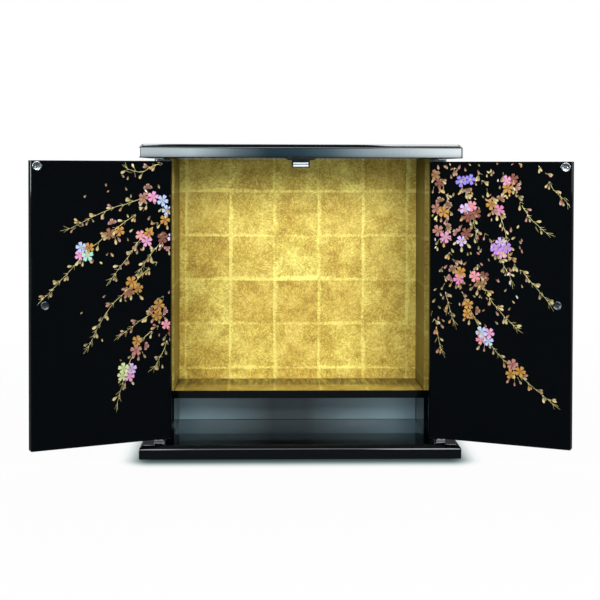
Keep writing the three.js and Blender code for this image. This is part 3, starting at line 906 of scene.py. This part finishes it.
class ALTAR_OT_fittings(bpy.types.Operator):
    """Pivot hinges, screws, strikes, caps and pulls"""

    bl_idname = "altar.fittings"
    bl_label = "Fittings"

    def place_turned(self, piece, word, side, node):
        """Moves a turned piece to its node's place on the door's face, by the node's own centre."""
        frame_place = door_place(word, side)
        low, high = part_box(node)
        centre = frame_place.inverted() @ ((low + high) / 2)
        piece.data.transform(Matrix.Translation((centre.x, 0, centre.z)))
        piece.data.transform(frame_place)

    def strike(self, word):
        radius, hole, sink, thick, arris = (v * MM for v in (9.75, 1.95, 3.45, 1.5, 0.4))
        seat = bpy.context.scene.altar_door.inner_offset + FIT_GAP
        ring = 0.25 * MM
        profile = [
            (0, seat), (radius, seat), (radius, seat + thick - arris),
            (radius - arris * 0.3, seat + thick - arris * 0.3), (radius - arris, seat + thick),
            (radius * 0.8, seat + thick), (radius * 0.74, seat + thick - ring * 0.6),
            (sink + ring, seat + thick - ring), (sink, seat + thick - ring), (hole, seat + ring), (0, seat + ring)]
        return turned(f"strike_{word}_plate", profile, 56)

    def cap(self, word):
        radius, height, rim, bolt = 9.25 * MM, 2.5 * MM, 2.6 * MM, 2.2 * MM
        settings = bpy.context.scene.altar_door
        seat = settings.inner_offset + FIT_GAP
        end = settings.inner_offset - settings.thickness - 6.5 * MM
        rim_line = smooth_profile([
            (radius - 0.3 * MM, seat), (radius, seat + height * 0.45), (radius - rim * 0.5, seat + height),
            (radius - rim, seat + height * 0.6), (radius - rim * 1.5, seat + height * 0.42)], 4)
        profile = [(0, end), (bolt, end), (bolt, seat), *rim_line, (0, seat + height * 0.36)]
        return turned(f"pull_cap_{word}_dished", profile, 56)

    def pull(self, word):
        settings = bpy.context.scene.altar_door
        seat = settings.inner_offset - settings.thickness - FIT_GAP
        length, radius, neck, foot, bore = (v * MM for v in (20, 11, 4.9, 6.5, 2.5))
        line = smooth_profile([
            (radius * 0.35, seat - length), (radius * 0.86, seat - length * 0.9),
            (radius, seat - length * 0.72), (radius * 0.8, seat - length * 0.52),
            (neck, seat - length * 0.34), (neck, seat - length * 0.16), (foot, seat)], 5)
        profile = [(0, seat - length), *line, (bore, seat), (bore, seat - 8 * MM), (0, seat - 8 * MM)]
        return turned(f"pull_{word}_knob", profile, 56)

    def execute(self, context):
        steel = plated_steel("plated_steel")
        dark_steel = plated_steel("dark_steel", srgb(46, 52, 56))
        black_steel = plated_steel("black_steel", srgb(10, 13, 15))
        for word, side in SIDES:
            body = f"{word}_door"
            made = {f"strike_{word}": self.strike, f"pull_cap_{word}": self.cap, f"pull_{word}": self.pull}
            for node, make in made.items():
                piece = make(word)
                self.place_turned(piece, word, side, node)
                polish(piece, 35)
                settle(piece, body, [node], dark_steel if make == self.cap else steel)
            copies = [(f"strike_screw_{word}", steel)]
            for level in ("upper", "lower"):
                copies.append((f"hinge_{level}_{word}", black_steel))
                copies += [(f"hinge_screw_{level}_{word}_{end}", dark_steel) for end in ("tip", "arm")]
            for node, metal in copies:
                settle(smooth_copy(f"{node}_plated", node), body, [node], metal)
        return {"FINISHED"}


class ALTAR_OT_catch(bpy.types.Operator):
    """Magnetic catch: the winged housing and its two pole bars"""

    bl_idname = "altar.catch"
    bl_label = "Catch"

    def execute(self, context):
        steel = brushed_steel()
        plastic = moulded_plastic()
        housing = smooth_copy("catch_housing_moulded", "catch_housing")
        settle(housing, "cabinet", ["catch_housing"], plastic)
        for level in ("lower", "upper"):
            node = f"catch_pole_{level}"
            piece = block(f"{node}_bar", *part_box(node))
            soften(piece, 0.35 * MM)
            settle(piece, "cabinet", [node], steel)
        return {"FINISHED"}


# The blossom picture. Places on a door's inner face are in millimetres: p is level, from the pin's axis
# towards the viewer's right, and q is the height over the cabinet's underside.

GOLD = srgb(196, 144, 56)
PALE_GOLD = srgb(202, 184, 118)
OLIVE_GOLD = srgb(146, 134, 74)
TWIG_GOLD = srgb(226, 214, 142)
BRONZE = srgb(150, 104, 64)
COPPER = srgb(132, 72, 54)
ROSE_BROWN = srgb(180, 122, 108)
ROSE = srgb(220, 116, 132)
PINK = srgb(216, 124, 182)
MAGENTA = srgb(210, 84, 158)
LILAC = srgb(194, 160, 222)
VIOLET = srgb(104, 84, 208)
ORCHID = srgb(160, 90, 210)
ICE = srgb(164, 188, 232)
MINT = srgb(140, 206, 184)
SPRING = srgb(186, 202, 118)
PEARL = srgb(206, 198, 194)
BLUSH = srgb(232, 192, 184)
PEARL_SHADES = (PINK, MAGENTA, LILAC, VIOLET, ORCHID, ICE, MINT, SPRING, PEARL, ROSE)

LEFT_TWIGS = (
    ((8, 642), (-30, 636), (-58, 622), (-90, 629)),
    ((8, 592), (-52, 566), (-118, 546), (-172, 524), (-214, 503)),
    ((8, 572), (-60, 538), (-122, 496), (-180, 452), (-226, 402), (-266, 362)),
    ((8, 534), (-52, 486), (-88, 440), (-124, 396)),
    ((8, 506), (-14, 470), (-40, 440), (-60, 412)),
    ((8, 446), (-40, 416), (-84, 374), (-134, 326), (-172, 256)),
    ((8, 380), (-26, 326), (-62, 302), (-102, 275)),
    ((8, 308), (-34, 280), (-64, 250), (-92, 196), (-110, 130)),
    ((8, 272), (-8, 236), (-26, 204)),
)
LEFT_CLUSTERS = (
    ((-42, 574), (PINK, BRONZE, ROSE_BROWN)),
    ((2, 556), (ROSE_BROWN, ICE, BRONZE)),
    ((-2, 528), (ICE, GOLD)),
    ((-118, 500), (BRONZE, GOLD, ROSE_BROWN)),
    ((-182, 455), (MINT, GOLD, ICE, PINK)),
    ((-48, 484), (GOLD, ROSE, PINK)),
    ((2, 474), (COPPER, ROSE_BROWN, LILAC)),
    ((-76, 376), (BRONZE, GOLD, GOLD)),
    ((-20, 324), (BRONZE, GOLD, ROSE_BROWN, GOLD)),
    ((6, 284), (COPPER, ROSE)),
    ((-62, 250), (ROSE_BROWN, GOLD, ROSE_BROWN)),
    ((-90, 194), (SPRING, PINK, LILAC, SPRING)),
)
RIGHT_TWIGS = (
    ((-8, 646), (16, 600), (30, 552), (28, 500)),
    ((30, 650), (58, 606), (78, 548), (92, 492)),
    ((84, 650), (104, 606), (134, 552), (152, 505), (163, 455)),
    ((130, 650), (160, 606), (186, 560), (210, 524), (242, 496)),
    ((214, 650), (238, 622), (256, 588), (286, 560)),
    ((96, 520), (130, 462), (150, 430), (168, 396)),
    ((140, 480), (170, 436), (206, 398), (248, 350)),
    ((20, 500), (34, 450), (52, 404), (66, 350), (84, 322), (112, 270), (176, 202), (258, 138)),
    ((90, 450), (104, 396), (128, 346), (178, 294)),
    ((16, 440), (22, 390), (28, 350), (42, 302)),
    ((-8, 340), (2, 296), (16, 238)),
)
RIGHT_CLUSTERS = (
    ((0, 606), (ROSE_BROWN, COPPER, BRONZE)),
    ((70, 600), (VIOLET, VIOLET, BRONZE)),
    ((16, 548), (BRONZE, ROSE_BROWN, GOLD, BRONZE)),
    ((78, 540), (LILAC, COPPER, COPPER, ROSE)),
    ((136, 554), (GOLD, MAGENTA, BRONZE)),
    ((166, 600), (COPPER, PINK, GOLD, ROSE_BROWN)),
    ((20, 494), (PINK, BRONZE, ROSE_BROWN)),
    ((60, 486), (COPPER, ROSE_BROWN, LILAC)),
    ((146, 462), (ORCHID, PINK, ORCHID, LILAC)),
    ((48, 402), (MAGENTA, GOLD, BRONZE, ROSE_BROWN)),
    ((100, 394), (BRONZE, COPPER, ROSE)),
    ((80, 328), (BRONZE, GOLD, GOLD)),
    ((112, 272), (ICE, PINK, ICE, ROSE)),
    ((176, 204), (GOLD, ROSE_BROWN, GOLD)),
)
LEFT_DRIFT = (64, (-190, 8), (190, 620))
RIGHT_DRIFT = (250, (-6, 190), (290, 646))
PICTURE_MARGIN = 3


class Inlay:
    """The inlay of one door's picture, as flat stamps and lines on its inner face."""

    def __init__(self, word, side, seed):
        self.settings = bpy.context.scene.altar_picture
        self.word = word
        self.side = side
        self.random = random.Random(seed)
        self.stamps = {"gold": [], "pearl": []}
        low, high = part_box(f"door_{word}")
        self.q_range = (low.z / MM + PICTURE_MARGIN, high.z / MM - PICTURE_MARGIN)
        reach = door_reach(word) / MM - PICTURE_MARGIN
        self.p_range = (-7.5, reach) if side > 0 else (-reach, 7.5)
        self.layer = 0

    def inside(self, p, q, margin=0.0):
        return (self.p_range[0] + margin <= p <= self.p_range[1] - margin
                and self.q_range[0] + margin <= q <= self.q_range[1] - margin)

    def stamp(self, prototype, p, q, turn, size, colour, squash=1.0):
        """A coloured copy of a prototype, laid on the face."""
        kind = "pearl" if colour in PEARL_SHADES else "gold"
        copy = linked("stamp", prototype.data.copy())
        self.layer = (self.layer + 1) % 7
        lift = self.layer * 0.012 * MM
        copy.data.transform(
            Matrix.Translation((p * MM, q * MM, lift)) @ Matrix.Rotation(turn, 4, "Z")
            @ Matrix.Diagonal((size * squash, size, 1, 1)))
        shade = self.random.uniform(0.85, 1.12)
        layer = copy.data.color_attributes["tint"]
        for corner in layer.data:
            depth, edge = corner.color[0], corner.color[1]
            mixed = (channel * depth * shade * (1 - edge) + light * edge for channel, light in zip(colour, BLUSH))
            corner.color = (*(min(1, channel) for channel in mixed), 1)
        if not self.inside(p, q, size / MM * 1.05):
            self.trim(copy)
        if copy.data.polygons:
            self.stamps[kind].append(copy)
        else:
            bpy.data.objects.remove(copy)

    def trim(self, copy):
        """Cuts a stamp off at the edge of the picture."""
        choose(copy)
        bpy.ops.object.mode_set(mode="EDIT")
        for axis, (low, high) in enumerate((self.p_range, self.q_range)):
            for value, sign in ((low, -1), (high, 1)):
                point = [0, 0, 0]
                normal = [0, 0, 0]
                point[axis] = value * MM
                normal[axis] = sign
                bpy.ops.mesh.select_all(action="SELECT")
                bpy.ops.mesh.bisect(plane_co=point, plane_no=normal, use_fill=True, clear_outer=True)
        bpy.ops.object.mode_set(mode="OBJECT")

    def line(self, points, widths):
        """A raised gold line through the points."""
        kept = [(p, q, w) for (p, q), w in zip(points, widths) if self.inside(p, q, 0.5)]
        if len(kept) < 2:
            return
        bpy.ops.object.select_all(action="DESELECT")
        bpy.ops.curve.primitive_bezier_curve_add()
        curve = bpy.context.object
        curve.data.splines.clear()
        spline = curve.data.splines.new("NURBS")
        spline.points.add(len(kept) - 1)
        for point, (p, q, w) in zip(spline.points, kept):
            point.co = (p * MM, q * MM, 0, 1)
            point.radius = w
        spline.use_endpoint_u = True
        spline.order_u = min(4, len(kept))
        curve.data.resolution_u = 3
        curve.data.bevel_depth = self.settings.line
        curve.data.bevel_resolution = 1
        curve.data.use_fill_caps = True
        choose(curve)
        bpy.ops.object.convert(target="MESH")
        twig = bpy.context.object
        bpy.ops.object.transform_apply(location=True, rotation=True, scale=True)
        twig.data.transform(Matrix.Diagonal((1, 1, 0.3, 1)))
        tint = twig.data.color_attributes.new("tint", "FLOAT_COLOR", "POINT")
        for corner in tint.data:
            corner.color = (*TWIG_GOLD, 1)
        self.stamps["gold"].append(twig)

    def bud(self, shapes, p, q, heading):
        """A bud on a short stalk, pointing along the heading."""
        stalk = self.random.uniform(3, 7)
        tip = (p + math.cos(heading) * stalk, q + math.sin(heading) * stalk)
        self.line([(p, q), ((p + tip[0]) / 2, (q + tip[1]) / 2), tip], [0.8, 0.7, 0.6])
        colour = self.random.choice((PALE_GOLD, OLIVE_GOLD, ROSE_BROWN, GOLD, OLIVE_GOLD, PALE_GOLD, TWIG_GOLD))
        size = self.settings.bud * self.random.uniform(0.75, 1.1)
        self.stamp(shapes["bud"], *tip, heading - math.pi / 2, size, colour)

    def twig(self, shapes, points, hidden):
        """A hanging twig with buds and a forked tip. The hidden share of its line, from its root, is left out."""
        steps = 6
        path = smooth_profile([tuple(map(float, point)) for point in points], steps)
        wander = [(p + self.random.uniform(-1, 1), q + self.random.uniform(-1, 1)) for p, q in path]
        count = len(wander)
        first = int(count * hidden)
        self.line(wander[first:], [1.45 - 0.85 * i / count for i in range(first, count)])
        carried = 0.0
        flip = 1
        for i, ((p0, q0), (p1, q1)) in enumerate(zip(wander, wander[1:])):
            length = math.hypot(p1 - p0, q1 - q0)
            carried += length
            heading = math.atan2(q1 - q0, p1 - p0)
            if carried > 15 and i > count * 0.1 and i < count - 2:
                carried = 0.0
                flip = -flip
                for spread in (0.75, 0.35) if self.random.random() < 0.55 else (0.6,):
                    self.bud(shapes, p1, q1, heading + flip * spread + self.random.uniform(-0.15, 0.15))
                if self.random.random() < 0.6:
                    self.fork(p1, q1, heading - flip * 0.6, 9)
        (p0, q0), (p1, q1) = wander[-2:]
        heading = math.atan2(q1 - q0, p1 - p0)
        for spread, length in ((-0.42, 13), (0.0, 20), (0.38, 14)):
            self.fork(p1, q1, heading + spread, length)
        for spread, back in ((0.6, 14), (-0.65, 26)):
            self.fork(p1 - math.cos(heading) * back, q1 - math.sin(heading) * back, heading + spread, 12)

    def fork(self, p, q, heading, length):
        bend = self.random.uniform(-0.2, 0.2)
        points = [(p, q)]
        for part in (0.5, 1.0):
            turn = heading + bend * part
            points.append((p + math.cos(turn) * length * part, q + math.sin(turn) * length * part))
        self.line(points, [0.8, 0.7, 0.4])

    def cluster(self, shapes, p, q, colours):
        """A few blossoms close together, with buds hanging below them."""
        radius = self.settings.blossom / MM
        start = self.random.uniform(0, math.tau)
        for angle in (-2.3, -1.6, -0.9):
            turn = angle + self.random.uniform(-0.2, 0.2)
            far = radius * self.random.uniform(1.1, 1.5)
            self.bud(shapes, p + math.cos(turn) * far * 0.8, q + math.sin(turn) * far, turn)
        for i, colour in enumerate(colours):
            angle = start + i * math.tau / len(colours)
            away = radius * (0.98 if len(colours) > 2 else 0.85) * self.random.uniform(0.9, 1.1)
            here = (p + math.cos(angle) * away, q + math.sin(angle) * away)
            size = self.settings.blossom * self.random.uniform(0.9, 1.08)
            turn = self.random.uniform(0, math.tau)
            side_on = colour in (ROSE_BROWN, BRONZE) and self.random.random() < 0.5
            shape = shapes["cup"] if side_on else shapes["blossom"]
            if side_on:
                turn = angle - math.pi / 2
            self.stamp(shape, *here, turn, size, colour)
            if not side_on:
                heart = PALE_GOLD if colour in PEARL_SHADES else COPPER
                self.stamp(shapes["heart"], *here, turn, size, heart)

    def drift(self, shapes, count, p_range, q_range):
        """Loose petals and buds in the air between the twigs."""
        for _ in range(count):
            p = self.random.uniform(*p_range)
            q = self.random.uniform(*q_range)
            share = (q - q_range[0]) / (q_range[1] - q_range[0])
            if self.random.random() > 0.25 + 0.75 * share:
                continue
            turn = math.pi + self.random.uniform(-1.0, 1.0)
            if self.random.random() < 0.6:
                colour = self.random.choice((OLIVE_GOLD, BRONZE, PALE_GOLD, OLIVE_GOLD, ROSE_BROWN))
                self.stamp(shapes["bud"], p, q, turn, self.settings.bud * self.random.uniform(0.6, 0.95), colour)
            else:
                colour = self.random.choice((PEARL, PALE_GOLD, OLIVE_GOLD, ROSE_BROWN, BRONZE))
                size = self.settings.petal * self.random.uniform(0.6, 1.0)
                self.stamp(shapes["petal"], p, q, turn, size, colour, self.random.uniform(0.8, 1.1))

    def join(self, kind, name, material):
        """Joins one kind of stamp to a single piece and lays it on the door."""
        parts = self.stamps[kind]
        choose(*parts)
        bpy.ops.object.join()
        piece = bpy.context.object
        piece.name = name
        piece.data.name = name
        offset = bpy.context.scene.altar_door.inner_offset
        face = Matrix(((-1, 0, 0, 0), (0, 0, 1, offset), (0, 1, 0, 0), (0, 0, 0, 1)))
        piece.data.transform(door_place(self.word, self.side) @ face)
        choose(piece)
        bpy.ops.object.shade_smooth_by_angle(angle=math.radians(35))
        settle(piece, f"{self.word}_door", [], material)
        return piece


class ALTAR_OT_picture(bpy.types.Operator):
    """Cherry branches in gold powder and shell on the doors' inner faces"""

    bl_idname = "altar.picture"
    bl_label = "Blossom picture"

    # Half outlines from foot to tip, as (across, up) on a petal of unit length
    petal_half = ((0.11, 0.16), (0.24, 0.36), (0.34, 0.57), (0.37, 0.77), (0.28, 0.94), (0.12, 1.0))
    bud_half = ((0.07, 0.14), (0.15, 0.32), (0.22, 0.54), (0.23, 0.74), (0.16, 0.91), (0.07, 0.99))
    loose_half = ((0.12, 0.1), (0.21, 0.28), (0.25, 0.5), (0.23, 0.72), (0.16, 0.89), (0.07, 0.97))

    def petal(self, name, half, tip):
        """A petal from its foot at the origin to its tip one unit up."""
        thickness = bpy.context.scene.altar_picture.thickness
        outline = [(0.0, 0.0), *half, (0.0, tip), *((-across, up) for across, up in reversed(half))]
        piece = add("circle", name, vertices=len(outline), radius=1, fill_type="NGON")
        for vertex, (across, up) in zip(piece.data.vertices, outline):
            vertex.co = (across, up, -thickness * 0.3)
        with editing():
            bpy.ops.mesh.extrude_region_move(TRANSFORM_OT_translate={"value": (0, 0, thickness)})
            bpy.ops.mesh.inset(thickness=0.075, depth=0)
            bpy.ops.transform.translate(value=(0, 0, thickness * 0.3))
            bpy.ops.mesh.select_all(action="SELECT")
            bpy.ops.mesh.normals_make_consistent(inside=False)
        return piece

    def shade(self, piece, deep, bright, rim=0.62, edge=0.0, edge_from=0.8):
        """Writes how light each point is, from the petals' feet to their tips and from rim to middle,
        and how much of the pale edge colour it takes."""
        thickness = bpy.context.scene.altar_picture.thickness
        tint = piece.data.color_attributes.new("tint", "FLOAT_COLOR", "POINT")
        for vertex, colour in zip(piece.data.vertices, tint.data):
            far = min(1.0, math.hypot(vertex.co.x, vertex.co.y))
            at_rim = vertex.co.z < thickness * 0.85
            depth = (deep + (bright - deep) * far) * (rim if at_rim else 1)
            pale = edge if far > edge_from and not at_rim else 0.0
            colour.color = (depth, pale, 0, 1)

    def fan(self, name, petal, turns):
        """Several copies of a petal about the origin, joined."""
        copies = []
        for turn, size in turns:
            copy = linked(name, petal.data.copy())
            copy.data.transform(Matrix.Rotation(turn, 4, "Z") @ Matrix.Diagonal((size * 0.9, size, 1, 1)))
            copies.append(copy)
        choose(*copies)
        bpy.ops.object.join()
        return bpy.context.object

    def prototypes(self):
        petal = self.petal("petal_shape", self.petal_half, 0.86)
        bud = self.petal("bud_shape", self.bud_half, 1.02)
        loose = self.petal("loose_shape", self.loose_half, 0.93)
        blossom = self.fan("blossom_shape", petal, [(math.tau * i / 5, 1.0) for i in range(5)])
        cup = self.fan("cup_shape", petal, [(0.0, 0.92), (1.06, 0.84), (-1.06, 0.84)])
        heart = self.fan("heart_shape", bud, [(math.tau * (i + 0.5) / 5, 0.3) for i in range(5)])
        heart.data.transform(Matrix.Translation((0, 0, bpy.context.scene.altar_picture.thickness * 1.1)))
        self.shade(blossom, 0.55, 1.1)
        self.shade(cup, 0.4, 1.0, rim=0.5, edge=0.8, edge_from=0.7)
        self.shade(bud, 0.5, 1.0, rim=0.6, edge=0.42, edge_from=0.6)
        self.shade(loose, 0.85, 1.05, rim=0.7)
        self.shade(heart, 0.9, 1.0)
        bpy.data.objects.remove(petal)
        return {"blossom": blossom, "cup": cup, "bud": bud, "petal": loose, "heart": heart}

    def execute(self, context):
        shapes = self.prototypes()
        gold = inlay_surface("gold_powder", 0.3, 0.36, False)
        pearl = inlay_surface("shell_inlay", 0.05, 0.24, True)
        rows = (
            ("left", -1, 11, LEFT_TWIGS, LEFT_CLUSTERS, LEFT_DRIFT, 0.25),
            ("right", 1, 23, RIGHT_TWIGS, RIGHT_CLUSTERS, RIGHT_DRIFT, 0.55),
        )
        for word, side, seed, twigs, clusters, drift, hidden in rows:
            inlay = Inlay(word, side, seed)
            for points in twigs:
                inlay.twig(shapes, points, hidden)
            inlay.drift(shapes, *drift)
            for (p, q), colours in clusters:
                inlay.cluster(shapes, p, q, colours)
            inlay.join("gold", f"gold_picture_{word}", gold)
            inlay.join("pearl", f"shell_picture_{word}", pearl)
        for shape in shapes.values():
            bpy.data.objects.remove(shape)
        return {"FINISHED"}


class ALTAR_OT_stage(bpy.types.Operator):
    """Camera, pale floor, soft lights and backdrop"""

    bl_idname = "altar.stage"
    bl_label = "Stage"

    # The camera as found from the photograph, in metres, radians and pixels of its 600-pixel frame
    picture_size = 600
    sensor = 36.0
    eye = (-0.0728, -2.7390, 0.6314)
    focal_pixels = 1203.2
    yaw = 0.02291
    pitch = 0.01997
    roll = 0.00244
    shift_pixels = (4.9, -108.0)

    # Name, place, what it points at, size, and power in watts
    lamps = (
        ("key", (1.05, -2.6, 1.46), (0, 0, 0.34), (1.3, 1.0), 48),
        ("fill", (-1.1, -2.6, 1.44), (0, 0, 0.34), (1.3, 1.0), 37),
        ("high_back", (0, 2.1, 2.5), (0, 0, 0.4), (2.4, 0.8), 46),
    )

    # The card that the boards' fronts mirror: how far before the cabinet, how wide and how high
    card_distance = 3.2
    card_size = (2.2, 0.84)
    card_height = 0.44

    def camera(self):
        data = bpy.data.cameras.new("camera")
        camera = linked("camera", data)
        bpy.context.scene.camera = camera
        data.sensor_width = self.sensor
        data.lens = self.focal_pixels / self.picture_size * self.sensor
        data.shift_x = self.shift_pixels[0] / self.picture_size
        data.shift_y = self.shift_pixels[1] / self.picture_size
        level = Vector((math.sin(self.yaw), math.cos(self.yaw), 0))
        beside = Vector((math.cos(self.yaw), -math.sin(self.yaw), 0))
        upright = Vector((0, 0, 1))
        forward = math.cos(self.pitch) * level - math.sin(self.pitch) * upright
        above = math.sin(self.pitch) * level + math.cos(self.pitch) * upright
        right = math.cos(self.roll) * beside + math.sin(self.roll) * above
        up = -math.sin(self.roll) * beside + math.cos(self.roll) * above
        turn = Matrix((right, up, -forward)).transposed().to_4x4()
        camera.matrix_world = Matrix.Translation(self.eye) @ turn

    def light(self, name, place, aim, size, power):
        data = bpy.data.lights.new(name, "AREA")
        data.shape = "RECTANGLE"
        data.size, data.size_y = size
        data.energy = power
        lamp = linked(name, data)
        lamp.location = place
        lamp.rotation_mode = "QUATERNION"
        lamp.rotation_quaternion = (Vector(aim) - Vector(place)).to_track_quat("-Z", "Y")
        lamp.visible_camera = False

    def world(self):
        """White to the camera and dim to the lacquer, but for the panels that its arrises mirror."""
        settings = bpy.context.scene.altar_stage
        sky = Surface("studio", "worlds")
        bpy.context.scene.world = sky.material
        split = sky.node("ShaderNodeSeparateXYZ", None, {0: sky.node("ShaderNodeTexCoord").outputs["Generated"]})
        x, y, z = (sky.quantity(output) for output in split.outputs)
        low = (z < 0.3) * (z > -0.02)
        # Where each panel lies and how bright it is: for the boards' upper arris, for their lower arris,
        # and for the free edges of the left door and the right door
        panels = (
            ((z > 0.92) * (z < 0.995) * (y > 0.02), 11.0),
            ((z > 0.74) * (z < 0.9) * (y < -0.1), 10.0),
            ((x < -0.86) * (y > -0.35) * low, 34.0),
            ((x > 0.9) * low, 7.0),
        )

        cool, pale, white = (0.9, 0.97, 1, 1), (0.93, 0.97, 1, 1), (1, 1, 1, 1)
        mirrored = sky.glow(cool, settings.gloss * 0.33, "Background")
        for panel, strength in panels:
            mirrored = sky.blend(panel, mirrored, sky.glow(cool, strength, "Background"))
        path = sky.node("ShaderNodeLightPath")
        lit = sky.glow(pale, settings.ambient, "Background")
        surfaces = sky.blend(path.outputs["Is Glossy Ray"], lit, mirrored)
        shown = sky.glow(white, settings.backdrop, "Background")
        sky.output(sky.blend(path.outputs["Is Camera Ray"], surfaces, shown), "World")

    def execute(self, context):
        settings = context.scene.altar_stage
        context.scene.view_settings.view_transform = "Standard"
        self.camera()
        self.world()
        floor = add("circle", "floor", vertices=96, radius=settings.floor_radius, fill_type="NGON")
        _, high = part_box("base_board")
        floor.data.materials.append(floor_surface(settings.floor_radius, high.x, high.y))

        card = add("plane", "glow_card", size=1, location=(0, -self.card_distance, self.card_height),
                   rotation=(-math.pi / 2, 0, 0))
        card.scale = (*self.card_size, 1)
        bpy.ops.object.transform_apply(location=True, rotation=True, scale=True)
        card.data.materials.append(card_surface())
        card.visible_camera = False
        card.visible_shadow = False

        for lamp in self.lamps:
            self.light(*lamp)
        return {"FINISHED"}


class ALTAR_PT_panel(bpy.types.Panel):
    """Lists the cabinet's settings and the operators that make it"""

    bl_label = "Altar Cabinet"
    bl_idname = "ALTAR_PT_panel"
    bl_space_type = "VIEW_3D"
    bl_region_type = "UI"
    bl_category = "Altar"

    def draw(self, context):
        for name, group in GROUPS.items():
            box = self.layout.box()
            for field in group.__annotations__:
                box.prop(getattr(context.scene, name), field)
        for operator in OPERATORS:
            self.layout.operator(operator.bl_idname)


OPERATORS = (
    ALTAR_OT_stage,
    ALTAR_OT_boards,
    ALTAR_OT_carcass,
    ALTAR_OT_alcove,
    ALTAR_OT_doors,
    ALTAR_OT_fittings,
    ALTAR_OT_catch,
    ALTAR_OT_picture,
)


def register():
    for name, group in GROUPS.items():
        bpy.utils.register_class(group)
        setattr(bpy.types.Scene, name, bpy.props.PointerProperty(type=group))
    for cls in (*OPERATORS, ALTAR_PT_panel):
        bpy.utils.register_class(cls)


def unregister():
    for cls in (ALTAR_PT_panel, *reversed(OPERATORS)):
        bpy.utils.unregister_class(cls)
    for name, group in reversed(GROUPS.items()):
        delattr(bpy.types.Scene, name)
        bpy.utils.unregister_class(group)


def main():
    register()
    for operator in OPERATORS:
        group, name = operator.bl_idname.split(".")
        getattr(getattr(bpy.ops, group), name)()


if __name__ == "__main__":
    main()
